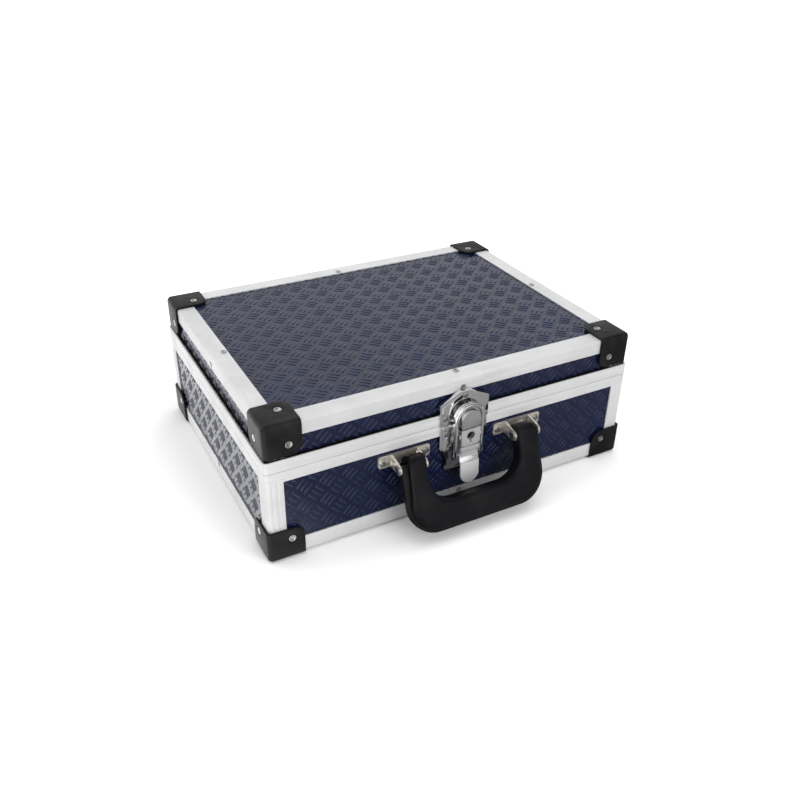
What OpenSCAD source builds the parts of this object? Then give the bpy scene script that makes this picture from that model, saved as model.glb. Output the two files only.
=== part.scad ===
// Hard tool case with aluminium edges, embossed panels, a hinged lid,
// a lockable latch and a swinging carrying handle. Millimetres, +Z up.
// The front, with the latch and the handle, faces -Y. The case stands on its four lower corner guards.

/* [Case] */
// Width over the aluminium edges
case_w = 331.6; // [260:0.2:420]
// Depth over the aluminium edges
case_d = 249; // [200:1:320]
// Height over the aluminium edges, without the corner guards
case_h = 116; // [108:0.1:150]
// Share of the height that lies below the seam
seam_share = 0.677; // [0.66:0.001:0.7]
// Thickness of the boards behind the profiles
board_t = 4; // [3:0.1:5]

/* [Profiles] */
// Wall of every aluminium profile
profile_t = 1.2; // [0.9:0.05:1.5]
// Outer radius of the profiles' rounded edges
edge_r = 1.7; // [1.6:0.1:2.4]
// Outer radius of the case's upright corners
corner_r = 3.5; // [2:0.1:4.5]
// Width of the flange on the top and on the bottom
flange_w = 15; // [12:0.1:15.5]
// Height of the lid profile's side leg
lid_leg_h = 12; // [9:0.1:13]
// Height of the base profile's side leg
base_leg_h = 13.8; // [11:0.1:18]
// Width of each leg of a corner post
post_w = 14.2; // [11:0.1:18]

/* [Mouth] */
// Height of the base rim's outer wall
base_rim_h = 9; // [7.5:0.1:10]
// Share of the height that the lid rim's outer wall takes
lid_rim_share = 0.082; // [0.078:0.0005:0.09]
// Height of the tongue that stands in the lid's groove
tongue_h = 2.4; // [1.5:0.1:2.6]
// Gap that shows as the seam when the lid is shut
seam_gap = 0.4; // [0.1:0.05:0.6]

/* [Corner guards] */
// Wall of a corner guard, which is also the height of the feet
guard_t = 2; // [1.6:0.1:3]
// Reach of a guard along the width and the depth, from the aluminium's corner
guard_reach = 28; // [27:0.1:33]
// Share of the height that a guard reaches up or down its corner
guard_rise_share = 0.224; // [0.2:0.001:0.226]
// Radius of a guard's outer edges
guard_edge_r = 4; // [1.5:0.1:4.5]
// Radius of each face's free corner
guard_corner_r = 9; // [5:0.1:11]
// Distance of a guard's rivets from the aluminium's corner
guard_rivet_in = 17.8; // [17.2:0.1:19]
// Height of a guard's rivets from the aluminium's corner
guard_rivet_rise = 16.8; // [15.5:0.1:17]

/* [Handle] */
// Width over the handle
handle_w = 125.6; // [112:0.2:140]
// Width of each arm of the handle
handle_arm_w = 20.6; // [17:0.1:24]
// Distance from the handle's pivot to the underside of its grip
handle_drop = 57.4; // [54:0.1:59]
// Height of the grip in the plane of the handle
grip_h = 24.3; // [20:0.1:25]
// Thickness of the handle
handle_t = 16; // [13:0.1:17]
// Radius of the handle's outer corners
handle_outer_r = 25; // [18:0.5:28]
// Radius of the handle's inner corners
handle_inner_r = 20; // [10:0.5:24]
// Bevel round the handle's edges
handle_bevel = 5.4; // [3:0.1:6]
// Angle at which the handle hangs out from the case
handle_tilt = 22; // [15:1:30]
// Distance of the handle's pivot from the front of the profiles
handle_pivot_out = 12.5; // [12:0.1:14]
// Height of the handle's pivot below the seam
handle_pivot_low = 19.3; // [18.5:0.1:20]

/* [Handle brackets] */
// Length of a bracket's strip
bracket_w = 45.4; // [44:0.1:48]
// Height of a bracket's strip
bracket_h = 11; // [9:0.1:12]
// Sheet thickness of a bracket
bracket_t = 1.5; // [1:0.1:2]
// Radius of the round end of a bracket's ears
ear_r = 4.5; // [4:0.1:5.5]
// Radius of the handle's pins
handle_pin_r = 2; // [1.5:0.1:3]

/* [Latch] */
// Width of the latch's lower plate
latch_w = 43; // [38:0.5:48]
// Width of the strike plate on the lid
strike_w = 44.4; // [44:0.2:52]
// Sheet thickness of the latch
latch_t = 1.2; // [1:0.1:1.3]
// Length of the lower plate below the seam
latch_drop = 42.3; // [40:0.1:46]
// Width of the lever's plate
lever_w = 17; // [15:0.1:18]
// Height of the lever's face in front of the profiles
lever_face_out = 12.5; // [12.5:0.1:13.5]
// Length of the lever above its pull tab
lever_face_h = 20.3; // [19:0.1:21]
// Width of the hood's band
hood_band_w = 3.2; // [2.5:0.1:4]
// Radius of the round keyhole
keyhole_r = 3.5; // [2.8:0.1:3.6]

/* [Hinges] */
// Length of each hinge
hinge_w = 50; // [40:1:70]
// Distance from the middle of the case to the middle of a hinge, as a share of the width
hinge_share = 0.287; // [0.22:0.001:0.33]
// Radius of a hinge's knuckle
knuckle_r = 2.4; // [2.2:0.1:2.6]
// Radius of a hinge's pin
hinge_pin_r = 1.2; // [1:0.1:1.4]
// Length of the stop that ends the lid's travel
hinge_stop_l = 6; // [5:0.1:6.4]
// Angle at which the stop ends the lid's travel
lid_open_angle = 95; // [90:1:98]

/* [Hidden] */
$fn = 48;

// Overrun of every cut
over = 1;
// Clearance of a pin or rivet in its hole
pin_gap = 0.05;

// Levels of the aluminium body
body_z = guard_t;
seam_h = case_h * seam_share;
lid_rim_h = case_h * lid_rim_share;
guard_rise = case_h * guard_rise_share;
hinge_x = case_w * hinge_share;
seam_z = body_z + seam_h;
top_z = body_z + case_h;
floor_top_z = body_z + profile_t + board_t;
roof_z = top_z - profile_t - board_t;
lid_low_z = seam_z + seam_gap;

// Mouth: how far each wall lies inside the outer face
base_inner_wall = profile_t + board_t;
tongue_gap = 1.8;
lid_inner_wall = base_inner_wall + profile_t + tongue_gap;
lid_recess = lid_inner_wall - board_t;
lid_in = lid_recess - profile_t;
tongue_room = 0.6;
lid_web_z = lid_low_z + tongue_h + tongue_room;
rim_leg_short = 1;

// Rivets
rivet_head_r = 3;
rivet_head_h = 1;
rivet_shank_r = 1.5;
rivet_bite = 3;
edge_rivet_head_r = 2.4;
edge_rivet_head_h = 0.7;
edge_rivet_in = 3.3;
guard_sink = 1.1;
guard_sink_gap = 0.5;
dome_flat_share = 0.55;
dome_side_share = 0.35;

// Handle and brackets
handle_arm_x = (handle_w - handle_arm_w) / 2;
handle_inner_bevel_share = 0.6;
handle_eye_r = handle_t / 2;
handle_side_gap = 0.3;
handle_pivot_z = seam_z - handle_pivot_low;
ear_gap = handle_arm_w + 2 * handle_side_gap;
bracket_low = 3.5;
bracket_corner_r = 2.5;
bracket_top_z = seam_z - base_rim_h - bracket_low;
screw_pitch = 37;
screw_head_r = 3.2;
screw_head_h = 1.4;
screw_slot_w = 0.8;
screw_slot_d = 0.5;
pin_head_r = 3;
pin_head_t = 1;

// Latch, outwards from the front of the profiles and up or down from the seam
lever_pivot_out = 9.5;
lever_pivot_low = 8;
lever_top_low = 1;
lever_flange_back = 5;
lever_flange_low = 30.5;
recess_out = 9.9;
recess_foot_out = 11.9;
recess_low = 30.3;
tab_top_out = 13.2;
tab_tip_out = 14.8;
tab_low = 50.5;
bevel_low = 3;
face_groove_low = 17;
face_groove_w = 0.5;
face_groove_d = 0.4;
latch_side_gap = 0.3;
latch_stub_r = 1.4;
hood_pivot_out = 7.2;
hood_pivot_low = 26.5;
hood_arch_high = 7;
hood_low = 0.4;
hood_band_back = 6.5;
hood_band_front = 11;
hood_eye_r = 3;
lug_t = 1.2;
lug_r = 2.8;
lug_low = 15.5;
lug_high = 1.5;
plate_raise = 0.5;
plate_border = 2.2;
plate_shoulder_low = 20.5;
plate_waist_low = 28.5;
plate_waist_in = 4.5;
plate_foot_in = 5.5;
latch_rivet_in = 6.5;
latch_rivet_low = 7.5;
latch_foot_rivet_high = 4;
strike_over_leg = 2;
strike_step = 8.7;
strike_top = case_h - seam_h - lid_leg_h + strike_over_leg;
strike_side = strike_top - strike_step;
strike_arch_w = 1.2;
strike_shoulder_share = 0.74;
strike_crown_share = 0.46;
strike_peak_share = 0.22;
strike_rivet_in = 4.8;
strike_skirt = 2;
strike_rivet_high = 7;
strike_tip_rivet_low = 3.2;
lock_low = 7;
lock_face_out = 9.5;
lock_back_out = 5.5;
lock_tail_out = 3.5;
lock_tail_t = 1.2;
lock_tail_r = 9.5;
lock_tail_w = 2.4;
lock_wall = 1.1;
key_slot_w = 1.4;
key_slot_l = 6.2;
key_depth = 3;

lever_pivot_z = seam_z - lever_pivot_low;
hood_pivot_z = seam_z - hood_pivot_low;
lock_z = seam_z - lock_low;
lug_in = lever_w / 2 + latch_side_gap;
hood_in = lug_in + lug_t + latch_side_gap;
hood_r = hood_in + hood_band_w;
hood_arch_z = seam_z + hood_arch_high;

// Hinges
hinge_leaf_t = 1.2;
hinge_leaf_h = 8.4;
knuckle_gap = 0.2;
knuckle_stand = 0.1;
hinge_axis_out = knuckle_r + knuckle_stand;
hinge_axis_z = seam_z + seam_gap / 2;
hinge_part_l = hinge_w / 5;
hinge_stop_t = 1.2;
hinge_stop_gap = 0.1;
hinge_rivet_r = 1.2;
hinge_rivet_head_r = 2;
hinge_rivet_head_h = 0.6;
hinge_rivet_low = 5.4;
hinge_stop_rise = hinge_stop_l * cos(lid_open_angle);
hinge_stop_drop = (hinge_axis_out - hinge_leaf_t + hinge_stop_rise) / sin(lid_open_angle) - hinge_stop_gap;

// Place of the case along Y, so that the origin lies under the middle of everything
front_reach = handle_pivot_out + (handle_drop - handle_bevel) * sin(handle_tilt)
    + handle_t / 2 * cos(handle_tilt);
back_reach = hinge_axis_out + hinge_stop_l;
case_y = (front_reach - back_reach) / 2;
front_y = case_y - case_d / 2;
back_y = case_y + case_d / 2;
handle_pivot_y = front_y - handle_pivot_out;
hinge_axis_y = back_y + hinge_axis_out;

// Plan of the case, drawn in by a distance from its outer face; start is where the full radius is kept
module plan(inset, start = 0) {
    r = max(corner_r - inset + start, profile_t / 2);
    w = case_w / 2 - inset;
    d = case_d / 2 - inset;
    translate([0, case_y]) {
        square([2 * (w - r), 2 * d], center = true);
        square([2 * w, 2 * (d - r)], center = true);
        for (sx = [-1, 1], sy = [-1, 1])
            translate([sx * (w - r), sy * (d - r)]) circle(r);
    }
}

// Wall that runs round the case between two depths and two heights
module ring(outer, inner, low, high, start = 0) {
    translate([0, 0, low])
        linear_extrude(high - low)
            difference() {
                plan(outer, start);
                plan(inner, start);
            }
}

// Turns a piece drawn with its outward side along +Z so that it faces the side that is named
module facing(side) {
    turn = side == "front" ? [90, 0, 0] : side == "back" ? [-90, 0, 0]
        : side == "left" ? [0, -90, 0] : side == "right" ? [0, 90, 0]
        : side == "bottom" ? [180, 0, 0] : [0, 0, 0];
    rotate(turn) children();
}

// Rivet with a low domed head; its head rests on z = 0 and its shank runs down
module rivet(head_r, head_h, shank_r, shank_l) {
    rotate_extrude()
        polygon([
            [0, -shank_l], [shank_r, -shank_l], [shank_r, 0], [head_r, 0],
            [head_r, head_h * dome_side_share], [head_r * dome_flat_share, head_h], [0, head_h]
        ]);
}

// How far the profiles of the base or the lid lie inside the rims' outer faces
function start_in(lid) = lid ? lid_in : 0;

// Middle points of the two guard rivets that one side of the base or lid has, or of the four below or above
function guard_spots(side, lid) =
    let (
        w = case_w / 2 - start_in(lid),
        d = case_d / 2 - start_in(lid),
        x = w - guard_rivet_in,
        y = d - guard_rivet_in,
        z = lid ? top_z - guard_rivet_rise : body_z + guard_rivet_rise
    )
    side == "front" ? [for (s = [-1, 1]) [s * x, case_y - d - guard_t, z]]
    : side == "back" ? [for (s = [-1, 1]) [s * x, case_y + d + guard_t, z]]
    : side == "left" ? [for (s = [-1, 1]) [-w - guard_t, case_y + s * y, z]]
    : side == "right" ? [for (s = [-1, 1]) [w + guard_t, case_y + s * y, z]]
    : [for (sx = [-1, 1], sy = [-1, 1]) [sx * x, case_y + sy * y, lid ? top_z + guard_t : 0]];

// Middle point of the rivet in a profile's side leg, or of the four in its flanges
function edge_spots(side, lid) =
    let (
        z = lid ? top_z - lid_leg_h + edge_rivet_in : body_z + base_leg_h - edge_rivet_in,
        w = case_w / 2 - start_in(lid),
        d = case_d / 2 - start_in(lid),
        in = flange_w - edge_rivet_in
    )
    side == "front" ? [[0, case_y - d, z]]
    : side == "back" ? [[0, case_y + d, z]]
    : side == "left" ? [[-w, case_y, z]]
    : side == "right" ? [[w, case_y, z]]
    : [for (p = [[0, case_y + in - d], [0, case_y + d - in], [in - w, case_y], [w - in, case_y]])
        [p[0], p[1], lid ? top_z : body_z]];

// Holes for the guard rivets and the profile rivets of one side
module rivet_holes(side, lid) {
    length = rivet_length();
    for (spot = concat(guard_spots(side, lid), edge_spots(side, lid)))
        translate(spot)
            facing(side)
                cylinder(h = 2 * length, r = rivet_shank_r + pin_gap, center = true);
}

// Length of a shank that starts at the outside of a guard and bites into the board
function rivet_length() = guard_t + rivet_bite + profile_t;

// All rivets of the base or the lid
module body_rivets(lid) {
    for (side = ["front", "back", "left", "right", lid ? "top" : "bottom"]) {
        length = rivet_length();
        color("gainsboro") {
            for (spot = guard_spots(side, lid))
                translate(spot)
                    facing(side)
                        translate([0, 0, -guard_sink])
                            rivet(rivet_head_r, rivet_head_h, rivet_shank_r, length - guard_sink);
            for (spot = edge_spots(side, lid))
                translate(spot)
                    facing(side)
                        rivet(edge_rivet_head_r, edge_rivet_head_h, rivet_shank_r, length - guard_t);
        }
    }
}

// Strip as thick as a board, with its two lower corners rounded to fit inside the profiles
module eased_strip(width) {
    r = max(edge_r - profile_t, profile_t / 8);
    difference() {
        translate([-width / 2, 0]) square([width, board_t]);
        for (s = [0, 1])
            mirror([s, 0])
                translate([width / 2 - r, 0])
                    difference() {
                        translate([0, -over]) square([r + over, r + over]);
                        translate([0, r]) circle(r);
                    }
    }
}

// Board that lies flat on the flanges of the base or the lid, with its underside at the origin's height
module flat_board(lid) {
    inset = start_in(lid) + profile_t;
    w = case_w - 2 * inset;
    d = case_d - 2 * inset;
    intersection() {
        linear_extrude(board_t) plan(inset, start_in(lid));
        translate([0, case_y, 0]) rotate([90, 0, 0]) linear_extrude(d, center = true) eased_strip(w);
        translate([0, case_y, 0]) rotate([90, 0, 90]) linear_extrude(w, center = true) eased_strip(d);
    }
}

// Upright board along the front or the back
module long_board(side, recess, low, high) {
    y = side == "front" ? front_y + recess : back_y - recess - board_t;
    intersection() {
        translate([0, 0, low]) linear_extrude(high - low) plan(recess, recess - profile_t);
        translate([-case_w / 2, y, low]) cube([case_w, board_t, high - low]);
    }
}

// Upright board along the left or the right, between the long ones
module short_board(side, recess, low, high) {
    x = side == "left" ? -case_w / 2 + recess : case_w / 2 - recess - board_t;
    d = case_d - 2 * (recess + board_t);
    translate([x, case_y - d / 2, low])
        cube([board_t, d, high - low]);
}

module base_bottom_panel() {
    color("#23284a")
        difference() {
            translate([0, 0, body_z + profile_t]) flat_board(false);
            rivet_holes("bottom", false);
        }
}

module base_side_panel(side) {
    high = seam_z - profile_t;
    color("#23284a")
        difference() {
            if (side == "front" || side == "back")
                long_board(side, profile_t, floor_top_z, high);
            else
                short_board(side, profile_t, floor_top_z, high);
            rivet_holes(side, false);
            if (side == "front") {
                bracket_screw_spots()
                    cylinder(h = 2 * (bracket_t + board_t), r = rivet_shank_r + pin_gap, center = true);
                plate_rivet_holes(false);
            }
            if (side == "back") hinge_rivet_holes(false);
        }
}

module lid_top_panel() {
    color("#23284a")
        difference() {
            translate([0, 0, top_z - profile_t]) mirror([0, 0, 1]) flat_board(true);
            rivet_holes("top", true);
        }
}

module lid_side_panel(side) {
    low = lid_web_z + profile_t;
    color("#23284a")
        difference() {
            if (side == "front" || side == "back")
                long_board(side, lid_recess, low, roof_z);
            else
                short_board(side, lid_recess, low, roof_z);
            rivet_holes(side, true);
            if (side == "front") plate_rivet_holes(true);
            if (side == "back") hinge_rivet_holes(true);
        }
}

// Section of an edge profile, with its outer corner rounded: flange along +X, leg along -Y
module edge_section(leg) {
    r_in = max(edge_r - profile_t, profile_t / 8);
    mirror([0, 1])
        difference() {
            union() {
                translate([edge_r, 0]) square([flange_w - edge_r, leg]);
                translate([0, edge_r]) square([flange_w, leg - edge_r]);
                translate([edge_r, edge_r]) circle(edge_r);
            }
            translate([edge_r, profile_t]) square([flange_w, leg]);
            translate([profile_t, edge_r]) square([flange_w, leg]);
            translate([edge_r, edge_r]) circle(r_in);
        }
}

// Mitred edge profile along X, with its outer corner on the X axis and its flange on top
module edge_bar(length, leg) {
    intersection() {
        rotate([90, 0, 90])
            linear_extrude(length, center = true)
                edge_section(leg);
        translate([0, 0, -leg])
            linear_extrude(leg)
                polygon([
                    [-length / 2, 0], [length / 2, 0],
                    [length / 2 - flange_w, flange_w], [flange_w - length / 2, flange_w]
                ]);
    }
}

// Puts an edge profile along the side that is named, on the top or turned over on the bottom
module edge_place(side, lid) {
    turn = side == "front" ? 0 : side == "back" ? 180 : side == "left" ? -90 : 90;
    reach = (side == "front" || side == "back" ? case_d : case_w) / 2 - start_in(lid);
    translate([0, case_y, lid ? top_z : body_z])
        rotate([0, 0, turn])
            translate([0, -reach, 0])
                mirror([0, 0, lid ? 0 : 1])
                    children();
}

module edge_profile(side, lid) {
    length = (side == "front" || side == "back" ? case_w : case_d) - 2 * start_in(lid);
    color("silver")
        difference() {
            edge_place(side, lid)
                edge_bar(length, lid ? lid_leg_h : base_leg_h);
            rivet_holes(side, lid);
            rivet_holes(lid ? "top" : "bottom", lid);
            if (side == "front" && lid) plate_rivet_holes(true);
        }
}

// Upright corner profile between two heights
module corner_post(sx, sy, lid, low, high) {
    start = start_in(lid);
    color("silver")
        difference() {
            intersection() {
                ring(start, start + profile_t, low, high, start);
                translate([
                    sx * ((case_w - post_w) / 2 - start) - post_w / 2,
                    case_y + sy * ((case_d - post_w) / 2 - start) - post_w / 2,
                    low
                ])
                    cube([post_w, post_w, high - low]);
            }
            rivet_holes(sx < 0 ? "left" : "right", lid);
            rivet_holes(sy < 0 ? "front" : "back", lid);
        }
}

module base_post(sx, sy) {
    corner_post(sx, sy, false, body_z + base_leg_h, seam_z - base_rim_h);
}

module lid_post(sx, sy) {
    corner_post(sx, sy, true, lid_low_z + lid_rim_h, top_z - lid_leg_h);
}

// Channel round the mouth of the base, with the tongue that the lid's groove takes
module base_rim() {
    inner = base_inner_wall + profile_t;
    color("gainsboro")
        difference() {
            union() {
                ring(0, profile_t, seam_z - base_rim_h, seam_z);
                ring(0, inner, seam_z - profile_t, seam_z);
                ring(base_inner_wall, inner, seam_z - base_rim_h + rim_leg_short, seam_z + tongue_h);
            }
            plate_rivet_holes(false);
            hinge_rivet_holes(false);
        }
}

// Channel round the mouth of the lid, open below for the tongue
module lid_rim() {
    inner = lid_inner_wall + profile_t;
    color("gainsboro")
        difference() {
            union() {
                ring(0, profile_t, lid_low_z, lid_low_z + lid_rim_h);
                ring(0, inner, lid_web_z, lid_web_z + profile_t);
                ring(lid_inner_wall, inner, lid_low_z, lid_low_z + lid_rim_h - rim_leg_short);
            }
            plate_rivet_holes(true);
            hinge_rivet_holes(true);
        }
}

// Box from the origin, with the three edges that meet there rounded
module eased_box(size, r) {
    translate([r, r, 0]) cube([size[0] - r, size[1] - r, size[2]]);
    translate([r, 0, r]) cube([size[0] - r, size[1], size[2] - r]);
    translate([0, r, r]) cube([size[0], size[1] - r, size[2] - r]);
    translate([r, r, r]) {
        sphere(r);
        cylinder(h = size[2] - r, r = r);
        rotate([0, 90, 0]) cylinder(h = size[0] - r, r = r);
        rotate([-90, 0, 0]) cylinder(h = size[1] - r, r = r);
    }
}

// What is cut from the free corner of a wall that lies on z = 0 and ends at the two sizes
module free_corner(a, b) {
    translate([a - guard_corner_r, b - guard_corner_r, -over])
        linear_extrude(guard_t + 2 * over)
            difference() {
                square(guard_corner_r + over);
                circle(guard_corner_r);
            }
}

// Hole and sink for a rivet through a wall that lies on z = 0
module guard_rivet_hole(a, b) {
    translate([a, b, -over]) {
        cylinder(h = guard_sink + over, r = rivet_head_r + guard_sink_gap);
        cylinder(h = guard_t + 2 * over, r = rivet_shank_r + pin_gap);
    }
}

// Corner guard with its outer corner at the origin and its walls along +X, +Y and +Z
module guard() {
    a = guard_reach + guard_t;
    c = guard_rise + guard_t;
    u = guard_rivet_in + guard_t;
    v = guard_rivet_rise + guard_t;
    difference() {
        eased_box([a, a, c], guard_edge_r);
        translate([guard_t, guard_t, guard_t]) cube([a, a, c]);
        free_corner(a, a);
        guard_rivet_hole(u, u);
        rotate([90, 0, 90]) {
            free_corner(a, c);
            guard_rivet_hole(u, v);
        }
        mirror([1, -1, 0])
            rotate([90, 0, 90]) {
                free_corner(a, c);
                guard_rivet_hole(u, v);
            }
    }
}

module corner_guard(sx, sy, lid) {
    color("#1c1c1e")
        translate([
            sx * (case_w / 2 - start_in(lid) + guard_t),
            case_y + sy * (case_d / 2 - start_in(lid) + guard_t),
            lid ? top_z + guard_t : 0
        ])
            mirror([sx > 0 ? 1 : 0, 0, 0])
                mirror([0, sy > 0 ? 1 : 0, 0])
                    mirror([0, 0, lid ? 1 : 0])
                        guard();
}

// Middle points of the bracket screws, with +Z outwards
module bracket_screw_spots() {
    for (side = [-1, 1], s = [-1, 1])
        translate([
            side * handle_arm_x + s * screw_pitch / 2,
            front_y + profile_t - bracket_t,
            bracket_top_z - bracket_h / 2
        ])
            facing("front")
                children();
}

module bracket_screws() {
    color("gainsboro")
        bracket_screw_spots()
            difference() {
                rivet(screw_head_r, screw_head_h, rivet_shank_r, bracket_t + rivet_bite);
                for (turn = [45, 135])
                    rotate([0, 0, turn])
                        translate([-screw_head_r, -screw_slot_w / 2, screw_head_h - screw_slot_d])
                            cube([2 * screw_head_r, screw_slot_w, screw_slot_d + over]);
            }
}

// Bracket with a screwed strip and two ears that hold one end of the handle
module handle_bracket(side) {
    wall_y = front_y + profile_t;
    low_z = bracket_top_z - bracket_h;
    mid_x = side * handle_arm_x;
    color("gainsboro")
        difference() {
            union() {
                translate([mid_x, wall_y, low_z])
                    rotate([90, 0, 0])
                        linear_extrude(bracket_t)
                            bracket_strip();
                for (s = [-1, 1])
                    translate([mid_x + s * (ear_gap + bracket_t) / 2 - bracket_t / 2, 0, 0])
                        rotate([90, 0, 90])
                            linear_extrude(bracket_t) {
                                polygon([
                                    [wall_y, low_z], [wall_y, bracket_top_z],
                                    [handle_pivot_y, handle_pivot_z + ear_r],
                                    [handle_pivot_y, handle_pivot_z - ear_r]
                                ]);
                                translate([handle_pivot_y, handle_pivot_z]) circle(ear_r);
                            }
            }
            bracket_screw_spots()
                cylinder(h = 2 * (bracket_t + over), r = rivet_shank_r + pin_gap, center = true);
            handle_pin_line(side) cylinder(h = bracket_w, r = handle_pin_r + pin_gap, center = true);
        }
}

// Outline of a bracket's strip, with its four corners rounded
module bracket_strip() {
    r = bracket_corner_r;
    translate([r - bracket_w / 2, 0]) square([bracket_w - 2 * r, bracket_h]);
    translate([-bracket_w / 2, r]) square([bracket_w, bracket_h - 2 * r]);
    for (s = [-1, 1], z = [r, bracket_h - r])
        translate([s * (bracket_w / 2 - r), z]) circle(r);
}

// Axis of the pin at one end of the handle
module handle_pin_line(side) {
    translate([side * handle_arm_x, handle_pivot_y, handle_pivot_z])
        rotate([0, 90, 0])
            children();
}

module handle_pins() {
    half = ear_gap / 2 + bracket_t;
    color("gainsboro")
        for (side = [-1, 1])
            handle_pin_line(side) {
                cylinder(h = 2 * half, r = handle_pin_r, center = true);
                for (s = [-1, 1])
                    translate([0, 0, s * (half + pin_head_t / 2)])
                        cylinder(h = pin_head_t, r = pin_head_r, center = true);
            }
}

// Outline in the plane of the handle, hanging down from the pivot line, with its lower corners rounded
module hanging_outline(half_w, drop, r, high) {
    translate([-half_w, r - drop]) square([2 * half_w, drop - r + high]);
    translate([r - half_w, -drop]) square([2 * (half_w - r), drop]);
    for (s = [-1, 1])
        translate([s * (half_w - r), r - drop]) circle(r);
}

// Slab of the outer or inner outline, at a distance from the handle's middle plane
module handle_slab(half_w, drop, r, high, at, thick) {
    translate([0, at, 0])
        rotate([90, 0, 0])
            linear_extrude(thick, center = true)
                hanging_outline(half_w, drop, r, high);
}

// The moulded handle, hanging straight down with its pivot line on the X axis
module handle_straight() {
    skin = handle_bevel / 10;
    outer = handle_w / 2;
    inner = outer - handle_arm_w;
    inner_drop = handle_drop - grip_h;
    flat = handle_t / 2 - handle_bevel;
    lip = handle_bevel * handle_inner_bevel_share;
    high = handle_eye_r - handle_bevel;
    open = 2 * handle_eye_r;
    difference() {
        hull() {
            handle_slab(outer, handle_drop, handle_outer_r, high, 0, 2 * flat);
            handle_slab(
                outer - handle_bevel, handle_drop - handle_bevel, handle_outer_r - handle_bevel,
                high, 0, handle_t
            );
            rotate([0, 90, 0]) cylinder(h = handle_w - 2 * handle_bevel, r = handle_eye_r, center = true);
            rotate([0, 90, 0]) cylinder(h = handle_w, r = flat + handle_bevel / 2, center = true);
        }
        handle_slab(inner, inner_drop, handle_inner_r, open, 0, 2 * handle_t);
        for (s = [-1, 1])
            hull() {
                handle_slab(
                    inner + lip, inner_drop + lip, handle_inner_r + lip,
                    open, s * (handle_t / 2 + skin), skin
                );
                handle_slab(inner, inner_drop, handle_inner_r, open, s * (handle_t / 2 - lip), skin);
            }
    }
}

module handle() {
    color("#1c1c1e")
        difference() {
            translate([0, handle_pivot_y, handle_pivot_z])
                rotate([-handle_tilt, 0, 0])
                    handle_straight();
            for (side = [-1, 1])
                handle_pin_line(side)
                    cylinder(h = 2 * handle_arm_w, r = handle_pin_r + pin_gap, center = true);
        }
}

// Half of a plate's outline, mirrored to the other side
module both_halves(points) {
    polygon(points);
    mirror([1, 0]) polygon(points);
}

// Sheet that stands on the front of the profiles between two distances, drawn in X and Z
module front_sheet(out_low, out_high) {
    translate([0, front_y - out_low, 0])
        rotate([90, 0, 0])
            linear_extrude(out_high - out_low)
                children();
}

// Middle points of the rivets in the latch's lower plate or in the strike plate
function plate_rivet_spots(lid) =
    let (half = (lid ? strike_w : latch_w) / 2)
    lid
    ? [
        [strike_rivet_in - half, strike_rivet_high], [half - strike_rivet_in, strike_rivet_high],
        [0, strike_top - strike_tip_rivet_low]
    ]
    : [
        [latch_rivet_in - half, -latch_rivet_low], [half - latch_rivet_in, -latch_rivet_low],
        [0, latch_foot_rivet_high - latch_drop]
    ];

module plate_rivet_places(lid) {
    for (spot = plate_rivet_spots(lid))
        translate([spot[0], front_y - latch_t - plate_raise, seam_z + spot[1]])
            facing("front")
                children();
}

module plate_rivet_holes(lid) {
    plate_rivet_places(lid)
        cylinder(h = 2 * plate_rivet_length(lid), r = rivet_shank_r + pin_gap, center = true);
}

function plate_rivet_length(lid) = latch_t + plate_raise + rivet_bite + (lid ? lid_recess : profile_t);

module plate_rivets(lid) {
    color("gainsboro")
        plate_rivet_places(lid)
            rivet(edge_rivet_head_r, edge_rivet_head_h, rivet_shank_r, plate_rivet_length(lid));
}

// Right half of the lower plate's outline, drawn in from its sides
function base_plate_half(inset) =
    let (half = latch_w / 2 - inset)
    [
        [0, seam_z], [half, seam_z], [half, seam_z - plate_shoulder_low],
        [half - plate_waist_in, seam_z - plate_waist_low],
        [half - plate_foot_in, seam_z - latch_drop], [0, seam_z - latch_drop]
    ];

// Lower plate of the latch, with the two lugs that carry the lever
module latch_base_plate() {
    color("silver")
        difference() {
            union() {
                front_sheet(0, latch_t) both_halves(base_plate_half(0));
                front_sheet(0, latch_t + plate_raise) both_halves(base_plate_half(plate_border));
                for (s = [-1, 1])
                    translate([s * (lug_in + lug_t / 2) - lug_t / 2, 0, 0])
                        rotate([90, 0, 90])
                            linear_extrude(lug_t)
                                lug_side();
            }
            plate_rivet_holes(false);
            lever_axis() cylinder(h = latch_w, r = latch_stub_r + pin_gap, center = true);
        }
}

// Side view of a lug, with the slot that the lock's tail turns into
module lug_side() {
    slot_low = sqrt(pow(lock_tail_r, 2) + pow(lock_tail_w / 2, 2) - pow(lug_in, 2));
    difference() {
        union() {
            polygon([
                [front_y, seam_z - lug_low], [front_y, seam_z - lug_high],
                [front_y - lever_pivot_out, lever_pivot_z + lug_r],
                [front_y - lever_pivot_out, lever_pivot_z - lug_r]
            ]);
            translate([front_y - lever_pivot_out, lever_pivot_z]) circle(lug_r);
        }
        translate([
            front_y - lock_tail_out - lock_tail_t - latch_side_gap,
            lock_z - slot_low - 2 * latch_side_gap
        ])
            square([
                lock_tail_t + 2 * latch_side_gap,
                slot_low + lock_tail_w / 2 + 3 * latch_side_gap
            ]);
    }
}

module lever_axis() {
    translate([0, front_y - lever_pivot_out, lever_pivot_z])
        rotate([0, 90, 0])
            children();
}

module hood_axis() {
    translate([0, front_y - hood_pivot_out, hood_pivot_z])
        rotate([0, 90, 0])
            children();
}

// Pair of short rivets along an axis, between two distances from the middle
module stub_pair(from, to) {
    for (s = [-1, 1])
        translate([0, 0, s * (from + to) / 2])
            cylinder(h = to - from, r = latch_stub_r, center = true);
}

module latch_pivot_rivets() {
    color("gainsboro")
        lever_axis()
            stub_pair(lever_w / 2 - latch_t, lug_in + lug_t);
}

module latch_hood_rivets() {
    color("gainsboro")
        hood_axis()
            stub_pair(lever_w / 2 - latch_t, hood_r);
}

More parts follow.
